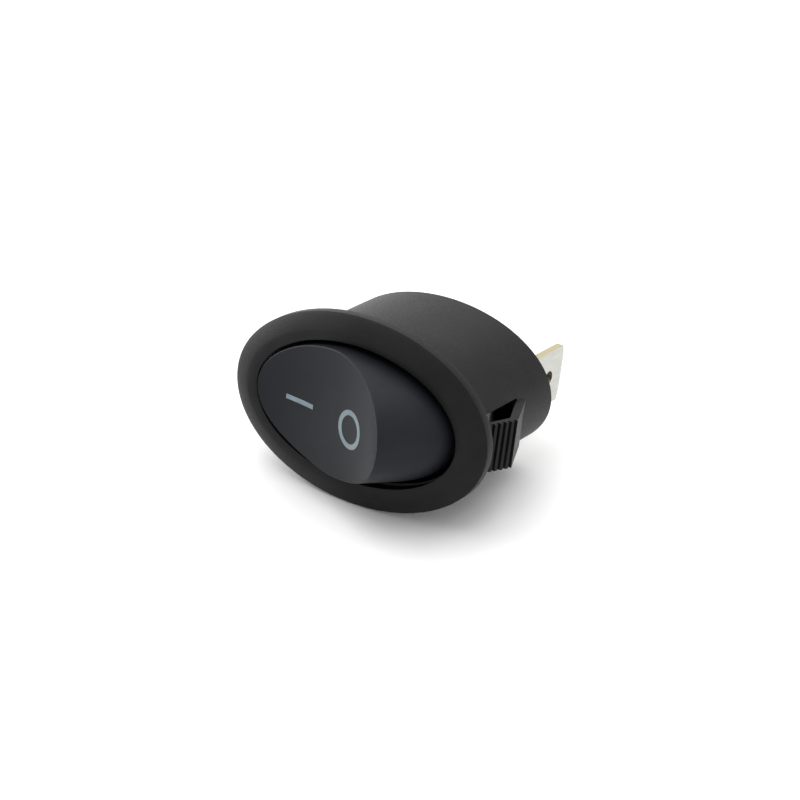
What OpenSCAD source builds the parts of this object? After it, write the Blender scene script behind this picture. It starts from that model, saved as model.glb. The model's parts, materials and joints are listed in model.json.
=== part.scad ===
// Oval snap-in panel rocker switch: single pole, on-off, two blade terminals.
// X runs along the oval, Z across it, -Y is the front and +Y the rear.
// The origin is the centre of the panel seat, which is the back face of the bezel.

/* [Bezel] */
// Half length of the oval bezel
bezel_a = 15; // [14.8:0.1:16]
// Half width of the oval bezel
bezel_b = 10; // [9.8:0.1:11]
// Height of the bezel's outer edge above the panel
bezel_rim = 1.05; // [0.8:0.05:1.2]
// Height of the bezel's flat crown above the panel
bezel_crown = 2; // [1.8:0.05:2.2]
// Width of the sloping shoulder between the outer edge and the crown
bezel_slope = 2; // [1.6:0.1:2.2]
// Half length of the opening round the rocker
opening_a = 11.9; // [11.85:0.05:12]
// Half width of the opening round the rocker
opening_b = 7.25; // [7.15:0.05:7.5]

/* [Body] */
// Half length of the oval body
body_a = 12.75; // [12.7:0.05:12.9]
// Half width of the oval body
body_b = 7.75; // [7.7:0.05:7.9]
// Depth of the body behind the panel
body_depth = 16.2; // [16:0.1:18]
// Thickness of the body's side wall
wall = 0.8; // [0.75:0.05:0.85]
// Thickness of the rear floor that holds the terminals
floor_t = 1.5; // [1.2:0.1:1.6]

/* [Snap-in clips] */
// Distance of the clip's apex from the body's centre line
clip_reach = 14.8; // [14.2:0.1:14.9]
// Depth of the clip's apex behind the panel
clip_apex_y = 4.9; // [4.7:0.1:5.2]
// Depth at which the clip grows out of the body
clip_root_y = 9.2; // [9:0.1:10]
// Number of grip ridges on each clip
clip_ridges = 6; // [4:1:6]
// Distance between two grip ridges
ridge_pitch = 0.65; // [0.6:0.05:0.65]
// Depth of the grooves between the ridges
ridge_depth = 0.3; // [0.15:0.05:0.35]

/* [Rocker] */
// Half length of the rocker's oval
rocker_a = 11.65; // [11.5:0.05:11.7]
// Half width of the rocker's oval
rocker_b = 6.75; // [6.6:0.05:6.8]
// Depth of the pivot behind the panel
pivot_y = 1.8; // [1.6:0.1:2]
// Tilt of the rocker to each side
rocker_tilt = 18.5; // [16:0.5:18.5]
// Height of the middle of the face above the pivot
face_h = 5.5; // [5.3:0.1:5.8]
// Radius of the hollow of the face
face_r = 23.5; // [22:0.5:26]
// Thickness of the rocker's skin
skin = 1; // [0.9:0.05:1.1]
// Radius of the rocker's pivot pins
pin_r = 1.2; // [1:0.1:1.2]
// Clearance of the pivot pins and of the plunger in their bores
running = 0.06; // [0.04:0.01:0.08]

/* [Mechanism] */
// Radius of the plunger
plunger_r = 1.22; // [1.1:0.02:1.24]
// Reach of the plunger's nose below the pivot
plunger_reach = 5.49; // [5.4:0.01:5.5]
// Wire diameter of the spring
spring_wire = 0.3; // [0.25:0.05:0.35]
// Number of turns of the spring
spring_turns = 7; // [6:0.5:8]
// Depth of the contact lever's rocking axis behind the panel
lever_y = 8.3; // [8.3:0.05:8.4]
// Thickness of the contact lever
lever_t = 0.5; // [0.4:0.05:0.5]
// Tilt of the lever when the contacts are closed
lever_tilt = 5; // [4.9:0.1:5]
// Radius of the silver contacts' heads
contact_r = 1.5; // [1.3:0.1:1.6]

/* [Terminals] */
// Width of a blade terminal
blade_w = 6.2; // [6.2:0.05:6.4]
// Thickness of a blade terminal
blade_t = 0.8; // [0.8:0.01:0.82]
// Length of the blade behind the body
blade_len = 8.8; // [8:0.1:10]
// Distance of the load terminal from the middle
load_x = 8.7; // [8.6:0.05:8.8]
// Radius of the hole in a blade
blade_hole_r = 0.825; // [0.7:0.025:0.85]

/* [Hidden] */

black_plastic = [0.17, 0.17, 0.18];
rocker_plastic = [0.2, 0.21, 0.23];
tinned = [0.82, 0.82, 0.78];
brass = [0.8, 0.62, 0.3];
silver = [0.88, 0.88, 0.86];
steel = [0.6, 0.6, 0.62];
nylon = [0.9, 0.88, 0.82];

oval_facets = 120;
eps = 0.01;
far = 40;

// Bezel and cavity
bezel_steps = 6;
bezel_bulge = 0.35;
cavity_a = body_a - wall;
cavity_b = body_b - wall;
lip_y = -0.7;
lip_chamfer = 0.2;
rear_chamfer = 0.3;
rear_taper = 0.975;
floor_y = body_depth - floor_t;

// Clips
clip_free_y = 0.6;
clip_free_x = body_a + 0.3;
clip_leg = 0.6;
clip_ramp = 1.1;
clip_z_low = -3.05;
clip_z_high = 2.15;
clip_slot = 0.3;
clip_land = 0.32;
ridge_start = clip_free_y + 0.35;
clip_root_x = body_a - 0.15;
clip_flare = (clip_reach - clip_free_x) / (clip_apex_y - clip_free_y);

// Lever stop on the floor
stop_x = -5.6;
stop_t = 1;
stop_w = 4;
stop_y = 8.8;

// Rocker
rocker_top = 8.9;
rocker_foot = 1;
ear_half = 2.4;
ear_foot = 2.4;
face_t = 1.3;
tube_r = 2.1;
tube_foot = 3;
tube_top = 3.4;
rib_t = 1;
pin_end = body_b - 0.15;
pin_root = rocker_b - skin - 0.2;

// Plunger
nose_r = 2.5;
plunger_top = 0.8;
stub_r = 0.55;
stub_len = 0.9;
spring_r = 0.85;
spring_seat = 0.02;
turn_steps = 20;
wire_sides = 8;

// Contact lever
saddle_r = blade_t / 2;
lever_gap = 0.03;
lever_tail = 6;
lever_half = 2.6;
lever_notch_half = 2.2;
lever_notch_len = 0.8;
contact_x = 6;
contact_head = 0.7;
contact_dome = 3;
shank_r = 0.75;
upset_r = 1.1;
upset_t = 0.25;
rivet_play = 0.01;

// Terminals
tip_y = body_depth + blade_len;
tip_corner_y = 0.7;
tip_corner_z = 1.15;
tip_bevel = 0.2;
tip_bevel_len = 0.7;
hole_from_tip = 3.2;
slot_play = 0.02;
shoulder_w = 7.2;
shoulder_y = 0.8;
ear_gap = 0.1;
ear_top_y = lever_y - 1.3;
flange_end = 4.2;
flange_half = 2.6;
bend_r = 1;
fixed_x = contact_x * cos(lever_tilt) + (contact_dome - contact_head + saddle_r + lever_gap)
        * sin(lever_tilt);
fixed_top_y = lever_y + contact_x * sin(lever_tilt) + contact_dome
            - (contact_dome - contact_head + saddle_r + lever_gap) * cos(lever_tilt) + lever_gap;
flange_y = fixed_top_y + contact_head;

// Elliptical cylinder that runs from y towards the rear
module oval(a, b, y, h, end = 1)
    translate([0, y, 0])
        scale([a, 1, b])
            rotate([-90, 0, 0])
                cylinder(r1 = 1, r2 = end, h = h, $fn = oval_facets);

// Plate drawn in the X-Y plane and centred on z, for profiles that run across the switch
module across(z_low, z_high)
    translate([0, 0, z_low])
        linear_extrude(height = z_high - z_low)
            children();

// Plate drawn as X-Z points and extruded towards the rear from y
module rearward(y, h)
    translate([0, y + h, 0])
        rotate([90, 0, 0])
            linear_extrude(height = h)
                children();

// ---- Housing ----

// Solid oval flange whose front rises in a shallow curve from the rim to the flat crown
module bezel()
    hull() {
        oval(bezel_a, bezel_b, -bezel_rim, bezel_rim);
        for (i = [1:bezel_steps])
            let (s = i / bezel_steps,
                 h = bezel_rim + (bezel_crown - bezel_rim) * s * (1 + bezel_bulge * (1 - s)))
                oval(bezel_a - bezel_slope * s, bezel_b - bezel_slope * s, -h, eps);
    }

module body_tube() {
    oval(body_a, body_b, -bezel_rim, bezel_rim + body_depth - rear_chamfer);
    oval(body_a, body_b, body_depth - rear_chamfer, rear_chamfer, rear_taper);
}

// Hollow for the rocker and the mechanism, with a chamfered mouth
module cavity() {
    oval(opening_a, opening_b, -bezel_crown - eps, bezel_crown + lip_y + eps);
    oval(opening_a + lip_chamfer, opening_b + lip_chamfer, -bezel_crown - eps, lip_chamfer,
         opening_a / (opening_a + lip_chamfer));
    oval(cavity_a, cavity_b, lip_y - eps, floor_y - lip_y + eps);
}

// Distance of the clip's outer face from the middle at depth y
function clip_face(y) = clip_free_x + (y - clip_free_y) * clip_flare;

// Grip ridges along the flared leg, as points of its outer edge
function ridge_points() = [
    for (i = [0:clip_ridges - 1])
        let (y = ridge_start + i * ridge_pitch, crest = y + clip_land)
            each [[clip_face(y), y], [clip_face(crest), crest],
                  [clip_face(crest) - ridge_depth, crest],
                  [clip_face(y + ridge_pitch) - ridge_depth, y + ridge_pitch]]
];

// Bent snap finger: a ridged leg that flares to the apex, and a ramp back to the body
module clip()
    across(clip_z_low, clip_z_high)
        polygon(concat(
            [[clip_free_x, clip_free_y]],
            ridge_points(),
            [[clip_face(ridge_start + clip_ridges * ridge_pitch), ridge_start + clip_ridges * ridge_pitch],
             [clip_reach, clip_apex_y],
             [clip_root_x, clip_root_y + clip_ramp],
             [cavity_a - wall, clip_root_y + clip_ramp],
             [cavity_a - wall, clip_root_y],
             [cavity_a + clip_leg / 4, clip_root_y],
             [clip_reach - clip_leg - clip_land, clip_apex_y],
             [clip_free_x - clip_leg, clip_free_y]]));

// Window in the end wall that frees the clip on three sides
module clip_window()
    translate([cavity_a - far / 4, clip_free_y - clip_slot, clip_z_low - clip_slot])
        cube([far / 2, clip_root_y - clip_free_y + clip_slot,
              clip_z_high - clip_z_low + 2 * clip_slot]);

module both_ends()
    for (turn = [0, 180])
        rotate([0, turn, 0])
            children();

module terminal_slot(x)
    translate([x - blade_t / 2 - slot_play, floor_y - eps, -blade_w / 2 - slot_play])
        cube([blade_t + 2 * slot_play, floor_t + 2 * eps, blade_w + 2 * slot_play]);

// Rib on the floor that stops the lever's tail when the switch is off
module lever_stop()
    translate([stop_x - stop_t / 2, stop_y, -stop_w / 2])
        cube([stop_t, floor_y - stop_y + eps, stop_w]);

module housing()
    color(black_plastic) {
        difference() {
            union() {
                bezel();
                difference() {
                    body_tube();
                    both_ends() clip_window();
                }
                both_ends() clip();
            }
            cavity();
            translate([0, pivot_y, -far / 2])
                cylinder(r = pin_r + running, h = far, $fn = 48);
            terminal_slot(0);
            terminal_slot(load_x);
        }
        lever_stop();
    }

// ---- Rocker, drawn level with its pivot at the origin ----

// Outline at height h of the two leaning ovals that bound the ends of the rocker
function end_x(a, b, h, z) = (a * sqrt(1 - pow(z / b, 2)) - h * sin(rocker_tilt)) / cos(rocker_tilt);
function end_half(a, b, h) = b * sqrt(1 - pow(h * sin(rocker_tilt) / a, 2));
function top_outline(a, b, h, n) = [
    for (side = [1, -1])
        for (i = [-n:n - 1])
            let (z = side * end_half(a, b, h) * sin(90 * i / n))
                [side * end_x(a, b, h, z), z]
];

// Rocker without its hollows: each end stands straight in the opening when it is pressed in,
// and the rounded skirt below sweeps clear of the wall at every tilt
module rocker_form(inset, facets)
    let (a = rocker_a - inset, b = rocker_b - inset)
        hull() {
            scale([a, a, b])
                sphere(r = 1, $fn = facets);
            rearward(-rocker_top, eps)
                polygon(top_outline(a, b, rocker_top, facets / 2));
        }

module face_hollow(depth)
    translate([0, -face_h - face_r, -far / 2])
        cylinder(r = face_r + depth, h = far, $fn = 180);

// Cuts the foot of the skirt level and leaves an ear round each pivot pin
module foot_cut()
    difference() {
        translate([-far / 2, rocker_foot, -far / 2])
            cube(far);
        translate([-ear_half, 0, -far / 2])
            cube([2 * ear_half, ear_foot, far]);
    }

module rocker_shell()
    difference() {
        rocker_form(0, 72);
        face_hollow(0);
        foot_cut();
        difference() {
            rocker_form(skin, 32);
            face_hollow(face_t);
        }
    }

// Spring tube and the cross rib that carries it
module spring_tube()
    difference() {
        union() {
            translate([0, -face_h + face_t / 2, 0])
                rotate([-90, 0, 0])
                    cylinder(r = tube_r, h = face_h - face_t / 2 + tube_foot, $fn = 48);
            translate([-rib_t / 2, -face_h + face_t / 2, -rocker_b + skin / 2])
                cube([rib_t, face_h - face_t / 2, 2 * rocker_b - skin]);
        }
        translate([0, -tube_top, 0])
            rotate([-90, 0, 0])
                cylinder(r = plunger_r + running, h = tube_top + tube_foot + eps, $fn = 48);
    }

module pivot_pins()
    for (side = [0, 1])
        mirror([0, 0, side])
            translate([0, 0, pin_root])
                cylinder(r = pin_r, h = pin_end - pin_root, $fn = 48);

// Places a piece of the rocker at the pivot with the I end pressed in
module pressed()
    translate([0, pivot_y, 0])
        rotate([0, 0, -rocker_tilt])
            children();

module rocker()
    color(rocker_plastic)
        pressed() {
            rocker_shell();
            spring_tube();
            pivot_pins();
        }

// ---- Mechanism ----

module plunger()
    color(nylon)
        pressed() {
            intersection() {
                rotate([-90, 0, 0])
                    translate([0, 0, plunger_top])
                        cylinder(r = plunger_r, h = plunger_reach - plunger_top, $fn = 48);
                translate([0, plunger_reach - nose_r, 0])
                    rotate([-90, 0, 0])
                        union() {
                            sphere(r = nose_r, $fn = 96);
                            translate([0, 0, -plunger_reach])
                                cylinder(r = nose_r, h = plunger_reach, $fn = 96);
                        }
            }
            rotate([-90, 0, 0])
                translate([0, 0, plunger_top - stub_len])
                    cylinder(r = stub_r, h = stub_len + eps, $fn = 32);
        }

// Height of the wire's centre after t turns, with one closed turn at each end
spring_low = -plunger_top + spring_wire / 2 + spring_seat;
spring_high = tube_top - spring_wire / 2 - spring_seat;
open_pitch = (spring_high - spring_low - 2 * spring_wire) / (spring_turns - 2);
function wire_h(t) = spring_low + spring_wire * (min(t, 1) + max(0, t - spring_turns + 1))
                   + open_pitch * max(0, min(t, spring_turns - 1) - 1);

// Round wire wound into a compression spring along -Y
module coil() {
    steps = spring_turns * turn_steps;
    r = spring_wire / 2;
    points = [
        for (i = [0:steps])
            let (turn = 360 * i / turn_steps, h = wire_h(i / turn_steps))
                for (k = [0:wire_sides - 1])
                    let (q = 360 * k / wire_sides, reach = spring_r + r * cos(q))
                        [reach * cos(turn), -h - r * sin(q), reach * sin(turn)]
    ];
    sides = [
        for (i = [0:steps - 1])
            for (k = [0:wire_sides - 1])
                let (n = (k + 1) % wire_sides, base = i * wire_sides)
                    [base + k, base + n, base + wire_sides + n, base + wire_sides + k]
    ];
    near_cap = [for (k = [wire_sides - 1:-1:0]) k];
    far_cap = [for (k = [0:wire_sides - 1]) steps * wire_sides + k];
    polyhedron(points = points, faces = concat(sides, [near_cap, far_cap]), convexity = 10);
}

module spring()
    color(steel)
        pressed() coil();

// Places a piece of the see-saw at its axis with the contacts closed
module closed()
    translate([0, lever_y, 0])
        rotate([0, 0, lever_tilt])
            children();

lever_under = -saddle_r - lever_gap;

// Brass strip with a round end for the contact and notches for the terminal's ears
module contact_lever()
    color(brass)
        closed()
            difference() {
                rearward(lever_under - lever_t, lever_t)
                    difference() {
                        union() {
                            translate([-lever_tail, -lever_half])
                                square([lever_tail + contact_x, 2 * lever_half]);
                            translate([contact_x, 0])
                                circle(r = lever_half, $fn = 48);
                        }
                        for (side = [0, 1])
                            mirror([0, side])
                                translate([-lever_notch_len, lever_notch_half])
                                    square([2 * lever_notch_len, lever_half]);
                    }
                translate([contact_x, lever_under - lever_t - eps, 0])
                    rotate([-90, 0, 0])
                        cylinder(r = shank_r + rivet_play, h = lever_t + 2 * eps, $fn = 32);
            }

// Contact rivet whose domed head points along +Z and whose plate lies at z = 0
module rivet(plate) {
    intersection() {
        cylinder(r = contact_r, h = contact_head, $fn = 48);
        translate([0, 0, contact_head - contact_dome])
            sphere(r = contact_dome, $fn = 96);
    }
    translate([0, 0, -plate - upset_t])
        cylinder(r = shank_r, h = plate + upset_t + eps, $fn = 32);
    translate([0, 0, -plate - upset_t])
        cylinder(r1 = upset_r * 0.8, r2 = upset_r, h = upset_t, $fn = 32);
}

module moving_contact()
    color(silver)
        closed()
            translate([contact_x, lever_under, 0])
                rotate([-90, 0, 0])
                    rivet(lever_t);

module fixed_contact()
    color(silver)
        translate([fixed_x, flange_y, 0])
            rotate([90, 0, 0])
                rivet(blade_t);

// ---- Terminals ----

// Outline of a blade in Y and Z: shoulders inside the floor, trimmed corners at the tip
module blade_outline(top_y)
    polygon([
        for (side = [1, -1])
            let (w = side * blade_w / 2, s = side * shoulder_w / 2)
                each (side > 0
                    ? [[top_y, w], [floor_y - shoulder_y, w], [floor_y - shoulder_y, s], [floor_y, s],
                       [floor_y, w], [tip_y - tip_corner_y, w], [tip_y, w - tip_corner_z]]
                    : [[tip_y, w + tip_corner_z], [tip_y - tip_corner_y, w], [floor_y, w], [floor_y, s],
                       [floor_y - shoulder_y, s], [floor_y - shoulder_y, w], [top_y, w]])
    ]);

// Flat blade that stands across the switch at x, with its hole and a bevelled tip
module blade(x, top_y)
    difference() {
        intersection() {
            translate([x - blade_t / 2, 0, 0])
                rotate([90, 0, 90])
                    linear_extrude(height = blade_t)
                        blade_outline(top_y);
            across(-shoulder_w, shoulder_w)
                polygon([[x - blade_t / 2, top_y],
                         [x - blade_t / 2, tip_y - tip_bevel_len],
                         [x - blade_t / 2 + tip_bevel, tip_y],
                         [x + blade_t / 2 - tip_bevel, tip_y],
                         [x + blade_t / 2, tip_y - tip_bevel_len],
                         [x + blade_t / 2, top_y]]);
        }
        translate([x - blade_t, tip_y - hole_from_tip, 0])
            rotate([0, 90, 0])
                cylinder(r = blade_hole_r, h = 2 * blade_t, $fn = 48);
    }

// Middle terminal: a rounded saddle for the see-saw between two ears
module common_terminal()
    color(tinned) {
        blade(0, lever_y);
        translate([0, lever_y, -blade_w / 2])
            cylinder(r = saddle_r, h = blade_w, $fn = 32);
        for (side = [0, 1])
            mirror([0, 0, side])
                translate([-saddle_r, ear_top_y, lever_notch_half + ear_gap])
                    cube([blade_t, lever_y - ear_top_y, blade_w / 2 - lever_notch_half - ear_gap]);
    }

// End terminal: its inner end is bent over into a flange that carries the fixed contact
module load_terminal()
    color(tinned)
        difference() {
            union() {
                blade(load_x, flange_y + bend_r);
                across(-flange_half, flange_half)
                    difference() {
                        union() {
                            translate([flange_end, flange_y])
                                square([load_x + blade_t / 2 - bend_r - flange_end, blade_t]);
                            translate([load_x + blade_t / 2 - bend_r, flange_y + bend_r])
                                intersection() {
                                    circle(r = bend_r, $fn = 48);
                                    translate([0, -bend_r])
                                        square(bend_r);
                                }
                        }
                        translate([load_x + blade_t / 2 - bend_r, flange_y + bend_r])
                            circle(r = bend_r - blade_t, $fn = 32);
                    }
            }
            translate([fixed_x, flange_y - eps, 0])
                rotate([-90, 0, 0])
                    cylinder(r = shank_r + rivet_play, h = blade_t + 2 * eps, $fn = 32);
        }

housing();
rocker();
plunger();
spring();
contact_lever();
moving_contact();
common_terminal();
load_terminal();
fixed_contact();
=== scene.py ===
import bpy
import math
from mathutils import Matrix, Vector
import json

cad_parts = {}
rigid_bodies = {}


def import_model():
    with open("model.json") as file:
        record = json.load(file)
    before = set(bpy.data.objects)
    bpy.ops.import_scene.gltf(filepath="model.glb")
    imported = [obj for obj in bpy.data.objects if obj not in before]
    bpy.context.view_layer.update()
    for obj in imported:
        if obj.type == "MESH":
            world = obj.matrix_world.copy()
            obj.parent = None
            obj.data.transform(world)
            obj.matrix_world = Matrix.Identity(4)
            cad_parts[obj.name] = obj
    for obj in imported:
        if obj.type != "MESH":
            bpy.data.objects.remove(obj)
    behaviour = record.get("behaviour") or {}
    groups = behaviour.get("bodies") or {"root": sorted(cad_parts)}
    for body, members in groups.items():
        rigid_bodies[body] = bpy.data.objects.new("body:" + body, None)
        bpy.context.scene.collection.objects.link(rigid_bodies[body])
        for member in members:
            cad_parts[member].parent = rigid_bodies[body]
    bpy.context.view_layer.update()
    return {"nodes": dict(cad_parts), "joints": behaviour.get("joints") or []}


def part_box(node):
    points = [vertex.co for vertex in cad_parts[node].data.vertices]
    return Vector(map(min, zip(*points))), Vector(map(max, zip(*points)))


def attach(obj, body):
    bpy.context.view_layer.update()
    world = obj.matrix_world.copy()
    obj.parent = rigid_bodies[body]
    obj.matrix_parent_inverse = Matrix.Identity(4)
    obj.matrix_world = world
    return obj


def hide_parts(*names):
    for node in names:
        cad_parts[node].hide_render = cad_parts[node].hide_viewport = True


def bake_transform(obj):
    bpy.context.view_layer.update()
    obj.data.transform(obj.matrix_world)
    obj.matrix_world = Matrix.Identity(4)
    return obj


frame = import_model()
MM = 0.001

# %% [markdown]
# The rocker turns on two pins. Its pivot is the origin of a small local frame that the rocker's
# own pieces are drawn in, lying level, before they are tipped over with the rocker.
# %% The rocker's own frame
rocker_joint = next(j for j in frame["joints"] if j["name"] == "rocker_pivot")
pivot = Vector(rocker_joint["pos_m"])
rocker_tilt = math.radians(rocker_joint["range_deg"][1] / 2)
level_to_rest = Matrix.Translation(pivot) @ Matrix.Rotation(-rocker_tilt, 4, "Z")
rest_to_level = level_to_rest.inverted()
print("pivot in mm:", [round(v / MM, 2) for v in pivot])
print("tilt in degrees:", round(math.degrees(rocker_tilt), 1))


def alone(obj):
    """Makes one object the only one selected, and the active one."""
    bpy.ops.object.select_all(action="DESELECT")
    obj.select_set(True)
    bpy.context.view_layer.objects.active = obj


# %% [markdown]
# The camera stands to the right of the switch and looks down on its front, through a long lens,
# as for a catalogue picture. A long lens keeps the oval's far side nearly as large as its near
# side.
# %% Camera
cam_azimuth, cam_height = math.radians(29.18), math.radians(22.63)
cam_roll = math.radians(7.37)
cam_distance, cam_lens, cam_sensor = 303.4 * MM, 135.4, 36
cam_side_step, cam_up_step = 3.53 * MM, 0.94 * MM
nearest_seen, farthest_seen = 0.01, 10
back = Vector((math.sin(cam_azimuth) * math.cos(cam_height),
               -math.cos(cam_azimuth) * math.cos(cam_height), math.sin(cam_height)))
right = Vector((math.cos(cam_azimuth), math.sin(cam_azimuth), 0))
up = back.cross(right)
rolled_right = right * math.cos(cam_roll) + up * math.sin(cam_roll)
rolled_up = up * math.cos(cam_roll) - right * math.sin(cam_roll)
spin = Matrix((rolled_right, rolled_up, back)).transposed()
cam_place = back * cam_distance + rolled_right * cam_side_step + rolled_up * cam_up_step
bpy.ops.object.camera_add(location=cam_place, rotation=spin.to_euler())
camera = bpy.context.object
camera.data.lens = cam_lens
camera.data.sensor_width = cam_sensor
camera.data.clip_start, camera.data.clip_end = nearest_seen, farthest_seen
bpy.context.scene.camera = camera
print("camera at mm:", [round(v / MM, 1) for v in camera.location])

# %% [markdown]
# The switch isn't in its panel: it lies on a white table, on the edge of its bezel and on the
# rim of its body. The two touch at different depths, so the floor slopes a little under the
# switch.
# %% Floor
housing_low, housing_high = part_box("housing")
body_low_z = -7.75 * MM
body_rim_y = 15.7 * MM
table_width = 4
slope = math.atan2(body_low_z - housing_low.z, body_rim_y)
bpy.ops.mesh.primitive_plane_add(size=table_width, location=(0, 0, housing_low.z),
                                 rotation=(slope, 0, 0))
floor = bpy.context.object
floor.name = "table_top"
print("floor slope in degrees:", round(math.degrees(slope), 2))

# %% [markdown]
# Three helpers for node materials. One adds a node and sets its inputs. One starts a material
# with Object coordinates, so that a pattern stays on its piece when the piece moves. The third
# adds a colour ramp between a dark and a light tone.
# %% Node helpers


def node_in(tree, kind, **inputs):
    made = tree.nodes.new(kind)
    for name, value in inputs.items():
        made.inputs[name.replace("_", " ")].default_value = value
    return made


def new_material(name):
    material = bpy.data.materials.new(name)
    material.use_nodes = True
    tree = material.node_tree
    shader = tree.nodes["Principled BSDF"]
    place = tree.nodes.new("ShaderNodeTexCoord")
    return material, tree, shader, place.outputs["Object"]


def two_tones(tree, dark, light, dark_until, light_from):
    ramp = tree.nodes.new("ShaderNodeValToRGB")
    low, high = ramp.color_ramp.elements
    low.position, low.color = dark_until, (*dark, 1)
    high.position, high.color = light_from, (*light, 1)
    return ramp


# %% [markdown]
# The housing is black nylon with a fine spark-eroded texture from its mould. Two noises make it:
# a coarse one for the faint cloudiness of the surface and a fine one for the grain, which goes
# to the bump and to the roughness. A black moulding gets most of its grey from the room that it
# reflects, so its own colour is nearly black and the reflection is kept weak. The rocker sinks
# into a narrow pocket that little light enters, and there its colour gets painted shade: ambient
# occlusion makes it darker and its gloss duller.
# %% Moulded plastic
fewest_samples = 8


def moulded_plastic(name, dark, light, rough, shine, grain_mm, grain_depth_mm,
                    cloud_mm=6.0, painted_shade_mm=0):
    """Moulded nylon in two close tones. The last argument is how far a wall casts painted shade.
    """
    rough_spread, grain_strength = 0.06, 0.6
    darkest, dullest = 0.35, 0.25
    material, tree, shader, coords = new_material(name)
    link = tree.links.new
    cloud = node_in(tree, "ShaderNodeTexNoise", Scale=1 / (cloud_mm * MM), Detail=3.0,
                    Roughness=0.55)
    grain = node_in(tree, "ShaderNodeTexNoise", Scale=1 / (grain_mm * MM), Detail=4.0,
                    Roughness=0.6)
    link(coords, cloud.inputs["Vector"])
    link(coords, grain.inputs["Vector"])
    tone = two_tones(tree, dark, light, 0.35, 0.68)
    link(cloud.outputs["Fac"], tone.inputs["Fac"])
    colour = tone.outputs["Color"]
    shader.inputs["Specular IOR Level"].default_value = shine
    # Painted shade: near a wall, ambient occlusion darkens the colour and dulls the gloss.
    if painted_shade_mm:
        hollow = node_in(tree, "ShaderNodeAmbientOcclusion", Distance=painted_shade_mm * MM)
        hollow.samples = fewest_samples
        depth = node_in(tree, "ShaderNodeMapRange", From_Min=0.1, From_Max=0.8,
                        To_Min=darkest, To_Max=1.0)
        link(hollow.outputs["AO"], depth.inputs["Value"])
        shaded = tree.nodes.new("ShaderNodeVectorMath")
        shaded.operation = "SCALE"
        link(colour, shaded.inputs[0])
        link(depth.outputs["Result"], shaded.inputs["Scale"])
        colour = shaded.outputs[0]
        dull = node_in(tree, "ShaderNodeMapRange", From_Min=0.25, From_Max=0.85,
                       To_Min=dullest * shine, To_Max=shine)
        link(hollow.outputs["AO"], dull.inputs["Value"])
        link(dull.outputs["Result"], shader.inputs["Specular IOR Level"])
    link(colour, shader.inputs["Base Color"])
    sheen = node_in(tree, "ShaderNodeMapRange", From_Min=0.3, From_Max=0.7,
                    To_Min=rough - rough_spread, To_Max=rough + rough_spread)
    link(grain.outputs["Fac"], sheen.inputs["Value"])
    link(sheen.outputs["Result"], shader.inputs["Roughness"])
    bump = node_in(tree, "ShaderNodeBump", Strength=grain_strength,
                   Distance=grain_depth_mm * MM)
    link(grain.outputs["Fac"], bump.inputs["Height"])
    link(bump.outputs["Normal"], shader.inputs["Normal"])
    return material


housing_finish = moulded_plastic(
    "housing_nylon", dark=(0.0042, 0.0042, 0.0046), light=(0.0085, 0.0083, 0.0083),
    rough=0.45, shine=0.14, grain_mm=0.2, grain_depth_mm=0.042)
# The rocker's nylon gets painted shade within 3 mm of a wall.
rocker_finish = moulded_plastic(
    "rocker_nylon", dark=(0.0095, 0.0105, 0.013), light=(0.0125, 0.014, 0.0175),
    rough=0.42, shine=0.12, grain_mm=0.12, grain_depth_mm=0.008, painted_shade_mm=3.0)
nylon_finish = moulded_plastic(
    "natural_nylon", dark=(0.62, 0.61, 0.56), light=(0.72, 0.71, 0.66),
    rough=0.4, shine=0.5, grain_mm=0.2, grain_depth_mm=0.005)
print("plastics:", housing_finish.name, rocker_finish.name, nylon_finish.name)

# %% [markdown]
# The blades are stamped from brass strip that was plated before it was cut, so the broad faces
# are silvery and the cut edges are bare brass. The broad faces look along X, and the normal
# tells them from the cut. Deep in a hole the cut brass gets painted shade: it is made darker
# where ambient occlusion finds such places.
# %% Cut edges of a plated strip


def bare_cut(tree, plated_colour, cut_edge, cut_painted_shade):
    """The strip's colour on its broad faces, another on its cut edges, and painted shade in its
    holes.
    """
    link = tree.links.new
    facing = tree.nodes.new("ShaderNodeTexCoord")
    axes = tree.nodes.new("ShaderNodeSeparateXYZ")
    link(facing.outputs["Normal"], axes.inputs[0])
    broad = node_in(tree, "ShaderNodeMath")
    broad.operation = "ABSOLUTE"
    link(axes.outputs["X"], broad.inputs[0])
    is_broad = node_in(tree, "ShaderNodeMapRange", From_Min=0.5, From_Max=0.8)
    link(broad.outputs[0], is_broad.inputs["Value"])
    # Painted shade: the cut brass is darker where ambient occlusion finds a hole.
    hollow = node_in(tree, "ShaderNodeAmbientOcclusion", Distance=1.5 * MM)
    hollow.samples = fewest_samples
    shade = two_tones(tree, cut_painted_shade, cut_edge, 0.5, 0.95)
    link(hollow.outputs["AO"], shade.inputs["Fac"])
    cut = node_in(tree, "ShaderNodeMix")
    cut.data_type = "RGBA"
    link(is_broad.outputs["Result"], cut.inputs["Factor"])
    sides = {i.name: i for i in cut.inputs if i.type == "RGBA"}
    link(shade.outputs["Color"], sides["A"])
    link(plated_colour, sides["B"])
    return next(o for o in cut.outputs if o.type == "RGBA")


# %% [markdown]
# Rolling leaves fine lines along a metal strip, so the noise of a rolled metal is stretched
# along the strip. It drives the tone, the roughness and a very shallow bump. Drawn wire and
# pressed contacts have no such direction, so theirs isn't stretched.
# %% Rolled metal


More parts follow.
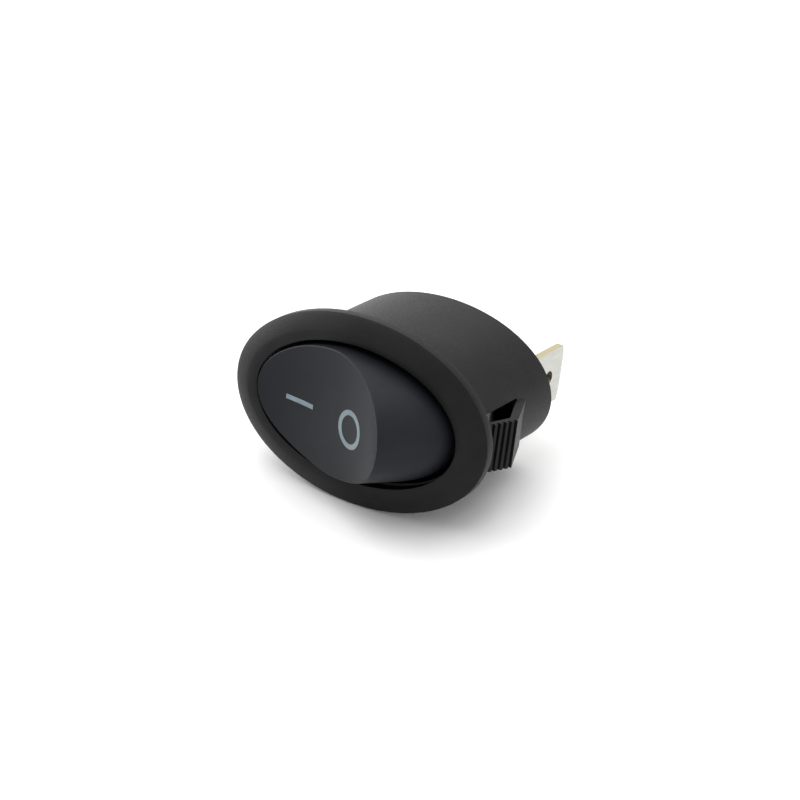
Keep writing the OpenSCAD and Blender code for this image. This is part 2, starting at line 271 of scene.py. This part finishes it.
def rolled_metal(name, dark, light, rough, stretch, cut_edge=None,
                 cut_painted_shade=(0.03, 0.027, 0.018)):
    """Bare or plated metal with lines. stretch is how dense they are along X, Y and Z."""
    smoother, rougher, line_strength, line_depth_mm = 0.08, 0.1, 0.4, 0.004
    material, tree, shader, coords = new_material(name)
    link = tree.links.new
    lay = tree.nodes.new("ShaderNodeMapping")
    lay.inputs["Scale"].default_value = stretch
    link(coords, lay.inputs["Vector"])
    lines = node_in(tree, "ShaderNodeTexNoise", Scale=2500.0, Detail=5.0, Roughness=0.6)
    link(lay.outputs["Vector"], lines.inputs["Vector"])
    tone = two_tones(tree, dark, light, 0.3, 0.7)
    link(lines.outputs["Fac"], tone.inputs["Fac"])
    colour = tone.outputs["Color"]
    if cut_edge:
        colour = bare_cut(tree, colour, cut_edge, cut_painted_shade)
    link(colour, shader.inputs["Base Color"])
    shader.inputs["Metallic"].default_value = 1
    sheen = node_in(tree, "ShaderNodeMapRange", To_Min=rough - smoother,
                    To_Max=rough + rougher)
    link(lines.outputs["Fac"], sheen.inputs["Value"])
    link(sheen.outputs["Result"], shader.inputs["Roughness"])
    bump = node_in(tree, "ShaderNodeBump", Strength=line_strength,
                   Distance=line_depth_mm * MM)
    link(lines.outputs["Fac"], bump.inputs["Height"])
    link(bump.outputs["Normal"], shader.inputs["Normal"])
    return material


plated_finish = rolled_metal(
    "plated_strip", dark=(0.42, 0.42, 0.395), light=(0.55, 0.55, 0.52), rough=0.45,
    stretch=(1, 0.12, 1), cut_edge=(0.42, 0.37, 0.24))
brass_finish = rolled_metal(
    "brass_strip", dark=(0.22, 0.15, 0.06), light=(0.32, 0.22, 0.10), rough=0.5,
    stretch=(0.12, 1, 1))
silver_finish = rolled_metal(
    "contact_silver", dark=(0.74, 0.74, 0.72), light=(0.88, 0.88, 0.86), rough=0.35,
    stretch=(1, 1, 1))
wire_finish = rolled_metal(
    "spring_wire", dark=(0.42, 0.42, 0.44), light=(0.62, 0.62, 0.64), rough=0.25,
    stretch=(1, 1, 1))
print("metals:", plated_finish.name, brass_finish.name, silver_finish.name, wire_finish.name)

# %% [markdown]
# Each solid from the model gets its finish in its material slot. Nothing else about it changes.
# The copies that are dressed in the next cells take their finish along from here.
# %% Finishes on the model's pieces
finishes = {"housing": housing_finish, "rocker": rocker_finish, "plunger": nylon_finish,
            "spring": wire_finish, "contact_lever": brass_finish,
            "moving_contact": silver_finish, "common_terminal": plated_finish,
            "load_terminal": plated_finish, "fixed_contact": silver_finish}
for name, finish in finishes.items():
    solid = frame["nodes"][name]
    for place in solid.material_slots:
        place.material = finish
    print(name, len(solid.data.polygons), "triangles", len(solid.material_slots), "slot")

# %% [markdown]
# A moulding has no truly sharp edge: the mould's corners are a little round, and they catch the
# light as thin bright lines. The model's solids have sharp edges, so dressed copies can stand in
# their place. A copy drops the solid's stored shading, its loose triangles are merged, and where
# that helps, its flat areas are joined.
# %% Dressed copy
weld_gap = 0.002 * MM
flat_angle = math.radians(0.05)


def dressed_copy(node, name, join_flats=True):
    solid = frame["nodes"][node]
    copy = solid.copy()
    copy.data = solid.data.copy()
    bpy.context.collection.objects.link(copy)
    copy.name = name
    alone(copy)
    bpy.ops.object.parent_clear(type="CLEAR_KEEP_TRANSFORM")
    bpy.ops.mesh.customdata_custom_splitnormals_clear()
    bpy.ops.object.mode_set(mode="EDIT")
    bpy.ops.mesh.select_all(action="SELECT")
    bpy.ops.mesh.remove_doubles(threshold=weld_gap)
    if join_flats:
        bpy.ops.mesh.dissolve_limited(angle_limit=flat_angle)
    bpy.ops.object.mode_set(mode="OBJECT")
    return copy


# %% [markdown]
# To round edges, the sharp ones are selected by their angle, and only those in the wanted place
# are kept. The Bevel tool then rounds them. It holds its rounding back where an edge is shorter
# than the radius, so on a finely divided rim the shortest edges are closed up first, and it is
# then told not to hold back.
# %% Round edges


def pick_edges(piece, keep, sharp_angle):
    """Selects the edges sharper than sharp_angle whose two ends both pass keep."""
    alone(piece)
    bpy.ops.object.mode_set(mode="EDIT")
    bpy.ops.mesh.select_mode(type="EDGE")
    bpy.ops.mesh.select_all(action="DESELECT")
    bpy.ops.mesh.edges_select_sharp(sharpness=sharp_angle)
    bpy.ops.object.mode_set(mode="OBJECT")
    spots = [keep(v.co) for v in piece.data.vertices]
    for edge in piece.data.edges:
        edge.select = edge.select and all(spots[i] for i in edge.vertices)
    found = sum(e.select for e in piece.data.edges)
    bpy.ops.object.mode_set(mode="EDIT")
    return found


def round_edges(piece, keep, radius, segments, sharp_angle, shortest=0):
    """Rounds those edges, after closing the ones shorter than shortest."""
    if shortest:
        pick_edges(piece, keep, sharp_angle)
        bpy.ops.mesh.remove_doubles(threshold=shortest)
        bpy.ops.object.mode_set(mode="OBJECT")
    found = pick_edges(piece, keep, sharp_angle)
    bpy.ops.mesh.bevel(offset=radius, segments=segments, affect="EDGES",
                       clamp_overlap=not shortest)
    bpy.ops.object.mode_set(mode="OBJECT")
    print(piece.name, "edges rounded:", found)


# %% [markdown]
# The rocker's face is a shallow hollow, part of a large cylinder, with a fine soft rim all
# round. A spot belongs to the face if it lies on that cylinder, and the rim is where the face
# meets the sides.
# %% Rocker's hollow face
face_depth, face_radius = 5.5 * MM, 23.5 * MM
on_face_within = 0.02 * MM
turn_level = rest_to_level.to_3x3()
rocker_shell = dressed_copy("rocker", "rocker_moulding")


def hollow_y(x):
    """Where the hollow lies at x, in the rocker's own frame."""
    return math.sqrt(face_radius ** 2 - x ** 2) - face_depth - face_radius


def on_face(spot):
    level_spot = rest_to_level @ spot
    reach = math.hypot(level_spot.x, level_spot.y + face_depth + face_radius)
    return abs(reach - face_radius) < on_face_within and level_spot.y < 0


def lies_on_face(part):
    return all(on_face(rocker_shell.data.vertices[i].co) for i in part.vertices)


def pick_parts(piece, wanted):
    """Selects a piece's faces that wanted says yes to, and stays in edit mode."""
    alone(piece)
    bpy.ops.object.mode_set(mode="EDIT")
    bpy.ops.mesh.select_mode(type="FACE")
    bpy.ops.mesh.select_all(action="DESELECT")
    bpy.ops.object.mode_set(mode="OBJECT")
    for part in piece.data.polygons:
        part.select = wanted(part)
    found = sum(part.select for part in piece.data.polygons)
    bpy.ops.object.mode_set(mode="EDIT")
    return found


# %% [markdown]
# The solid's face is made of thin strips, and their ends crowd at the rim, where a rounding
# would fold over them. So the strips are first joined into one face. Then the rim is rounded,
# and the new border is put back on the hollow, because the tool works with flat faces.
# %% Soft rim
rim_round, rim_segments, rim_shortest = 0.15 * MM, 4, 0.1 * MM
rim_angle = math.radians(30)
many_sides, front_facing = 7, -0.9


def is_uncut_face(part):
    looks_forward = (turn_level @ part.normal).y < front_facing
    return looks_forward and part.loop_total >= many_sides


print("face joined from", pick_parts(rocker_shell, lies_on_face), "parts")
bpy.ops.mesh.dissolve_faces()
bpy.ops.object.mode_set(mode="OBJECT")
round_edges(rocker_shell, on_face, rim_round, rim_segments, rim_angle, shortest=rim_shortest)
pick_parts(rocker_shell, is_uncut_face)
bpy.ops.object.mode_set(mode="OBJECT")
for corner in rocker_shell.data.vertices:
    if corner.select:
        x, y, z = rest_to_level @ corner.co
        corner.co = level_to_rest @ Vector((x, hollow_y(x), z))

# %% [markdown]
# One face with a curved border would be filled in any way, and the hollow would be lost. It is
# cut into even strips across the rocker with Bisect: each cut joins two points of the border
# that lie at the same height, and so runs exactly in the hollow.
# %% Strips across the face
face_half, strip_width = 9.5 * MM, 0.5 * MM
smooth_angle = math.radians(32)
along = level_to_rest.to_3x3() @ Vector((1, 0, 0))
for step in range(int(2 * face_half / strip_width)):
    if pick_parts(rocker_shell, is_uncut_face):
        across = level_to_rest @ Vector((step * strip_width - face_half, 0, 0))
        bpy.ops.mesh.bisect(plane_co=across, plane_no=along)
    bpy.ops.object.mode_set(mode="OBJECT")
print(rocker_shell.name, "parts after the cuts:", len(rocker_shell.data.polygons))
alone(rocker_shell)
bpy.ops.object.shade_smooth_by_angle(angle=smooth_angle)
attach(rocker_shell, "rocker_body")
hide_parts("rocker")

# %% [markdown]
# The housing gains mostly its shading: it is shaded smooth up to its real corners. The bezel's
# rim and the edge of its opening are also eased, with the Bevel tool's own limit left on. The
# radius below is what is asked for. The solid is divided so finely there that the limit holds
# the result back to about a thousandth of a millimetre, so these edges stay sharp to the eye.
# %% Housing shaded smooth
bezel_back = 0.3 * MM
bezel_round, bezel_segments, bezel_angle = 0.07 * MM, 3, math.radians(40)
corner_angle = math.radians(20)
housing_shell = dressed_copy("housing", "housing_moulding", join_flats=False)
round_edges(housing_shell, lambda spot: spot.y < bezel_back, bezel_round, bezel_segments,
            bezel_angle)
alone(housing_shell)
bpy.ops.object.shade_smooth_by_angle(angle=corner_angle, keep_sharp_edges=False)
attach(housing_shell, "housing_body")
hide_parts("housing")

# %% [markdown]
# The coil spring is pressed shorter as the plunger slides into the rocker's tube. A dressed copy
# of it, shaded smooth, stands in place of the solid, which is hidden. The copy is not blended
# between the two.
# %% Spring shaded smooth
spring_coil = dressed_copy("spring", "coil_spring", join_flats=False)
bpy.ops.object.shade_smooth()
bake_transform(spring_coil)
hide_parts("spring")

# %% [markdown]
# The signs are printed on the rocker's hollow face: a bar at the end that switches on and a ring
# at the end that switches off. Each is a flat shape, cut fine enough to bend, that starts in
# front of the face and is moved straight onto it with a Shrinkwrap modifier. A Solidify modifier
# then gives it the thickness of a coat of ink.
# %% Print helper
ink_thickness, ink_lift = 0.03 * MM, 0.02 * MM
ink_finish = moulded_plastic(
    "sign_ink", dark=(0.14, 0.185, 0.21), light=(0.178, 0.222, 0.248),
    rough=0.5, shine=0.3, grain_mm=0.1, grain_depth_mm=0.004, cloud_mm=1.0)
sign_height = -8.0 * MM
sign_drop = -0.45 * MM
face_front = (math.pi / 2, 0, 0)


def print_on_face(sign):
    """Puts a level, flat sign onto the rocker's face and leaves it in place at rest."""
    alone(sign)
    bpy.ops.object.transform_apply(location=True, rotation=True, scale=True)
    sign.matrix_world = level_to_rest
    wrap = sign.modifiers.new("lie_on_face", "SHRINKWRAP")
    wrap.target = rocker_shell
    wrap.wrap_method = "PROJECT"
    wrap.use_project_y = True
    wrap.use_project_x = wrap.use_project_z = False
    wrap.use_positive_direction, wrap.use_negative_direction = True, False
    wrap.wrap_mode = "ABOVE_SURFACE"
    wrap.offset = ink_lift
    bpy.ops.object.modifier_apply(modifier=wrap.name)
    bpy.ops.object.mode_set(mode="EDIT")
    bpy.ops.mesh.select_all(action="SELECT")
    bpy.ops.mesh.normals_make_consistent(inside=False)
    bpy.ops.object.mode_set(mode="OBJECT")
    if sum(f.normal.y for f in sign.data.polygons) > 0:
        sign.data.flip_normals()
    ink = sign.modifiers.new("coat", "SOLIDIFY")
    ink.thickness = ink_thickness
    ink.offset = -1
    bpy.ops.object.modifier_apply(modifier=ink.name)
    bpy.ops.object.transform_apply(location=True, rotation=True, scale=True)
    sign.data.materials.append(ink_finish)
    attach(sign, "rocker_body")
    low = [round(min(v.co[i] for v in sign.data.vertices) / MM, 2) for i in range(3)]
    high = [round(max(v.co[i] for v in sign.data.vertices) / MM, 2) for i in range(3)]
    print(sign.name, low, high)


# %% [markdown]
# The bar lies along the rocker at the end that switches on. It is a grid, so that it can bend.
# %% Bar for on
bar_length, bar_width, bar_place = 3.5 * MM, 0.5 * MM, -4.6 * MM
bpy.ops.object.select_all(action="DESELECT")
bpy.ops.mesh.primitive_grid_add(x_subdivisions=28, y_subdivisions=4, size=1,
                                location=(bar_place, sign_height, sign_drop),
                                rotation=face_front)
bar = bpy.context.object
bar.name = "sign_on_bar"
bar.scale = (bar_length, bar_width, 1)
print_on_face(bar)

# %% [markdown]
# The ring is a disc whose rim is inset a few times for rings of faces, and whose middle is
# deleted.
# %% Ring for off
ring_radius, ring_stroke, ring_place = 2.02 * MM, 0.54 * MM, 3.2 * MM
ring_steps = 4
bpy.ops.object.select_all(action="DESELECT")
bpy.ops.mesh.primitive_circle_add(vertices=72, radius=ring_radius, fill_type="NGON",
                                  location=(ring_place, sign_height, sign_drop),
                                  rotation=face_front)
ring = bpy.context.object
ring.name = "sign_off_ring"
bpy.ops.object.mode_set(mode="EDIT")
for step in range(ring_steps):
    bpy.ops.mesh.inset(thickness=ring_stroke / ring_steps)
bpy.ops.mesh.delete(type="FACE")
bpy.ops.object.mode_set(mode="OBJECT")
print_on_face(ring)

# %% [markdown]
# The light is a big soft panel high above the switch, a little to the left, and a small
# reflector low on the left. The reflector only adds gloss to the bezel's left slope: it casts
# no light on matt surfaces.
# %% Light
switch_middle = (0, 0.004, 0)


def soft_panel(name, place, size, power):
    bpy.ops.object.light_add(type="AREA", location=place)
    lamp = bpy.context.object
    lamp.name = name
    lamp.data.size = size
    lamp.data.energy = power
    aim = Vector(switch_middle) - Vector(place)
    lamp.rotation_euler = aim.to_track_quat("-Z", "Y").to_euler()
    print(name, size, "m wide,", power, "W")
    return lamp


soft_panel("key_panel", place=(-0.45, 0.05, 1.2), size=2.4, power=31.0)
reflector = soft_panel("left_reflector", place=(-0.35, -0.05, 0.10), size=0.25, power=1.1)
reflector.visible_diffuse = False

# %% [markdown]
# The room is white. What the camera, a reflection or clear plastic sees of it is fully white,
# while it lights the switch a little less than that, so the black plastic keeps its depth.
# %% White room
room_light, room_seen = 0.85, 1.0
world = bpy.data.worlds.new("white_room")
bpy.context.scene.world = world
world.use_nodes = True
room = world.node_tree
sky = room.nodes["Background"]
sky.inputs["Color"].default_value = (1, 1, 1, 1)
rays = room.nodes.new("ShaderNodeLightPath")
seen = rays.outputs["Is Camera Ray"]
for kind in ("Is Glossy Ray", "Is Transmission Ray"):
    either = node_in(room, "ShaderNodeMath")
    either.operation = "MAXIMUM"
    room.links.new(seen, either.inputs[0])
    room.links.new(rays.outputs[kind], either.inputs[1])
    seen = either.outputs[0]
brightness = node_in(room, "ShaderNodeMapRange", To_Min=room_light, To_Max=room_seen)
room.links.new(seen, brightness.inputs["Value"])
room.links.new(brightness.outputs["Result"], sky.inputs["Strength"])
print("room lights with", room_light, "and is seen as", room_seen)

# %% [markdown]
# The table is matt white paper. In this light it comes out as white as the room, so its edge
# can't be seen, and only the switch's shadow is drawn on it.
# %% Table finish
paper, tree, shader, coords = new_material("white_paper")
shader.inputs["Base Color"].default_value = (0.9, 0.9, 0.9, 1)
shader.inputs["Roughness"].default_value = 0.9
floor.data.materials.append(paper)

bpy.context.scene.view_settings.view_transform = "Standard"
print("table:", paper.name)

# %% [markdown]
# The last cell only imports json.
# %% Import json
import json
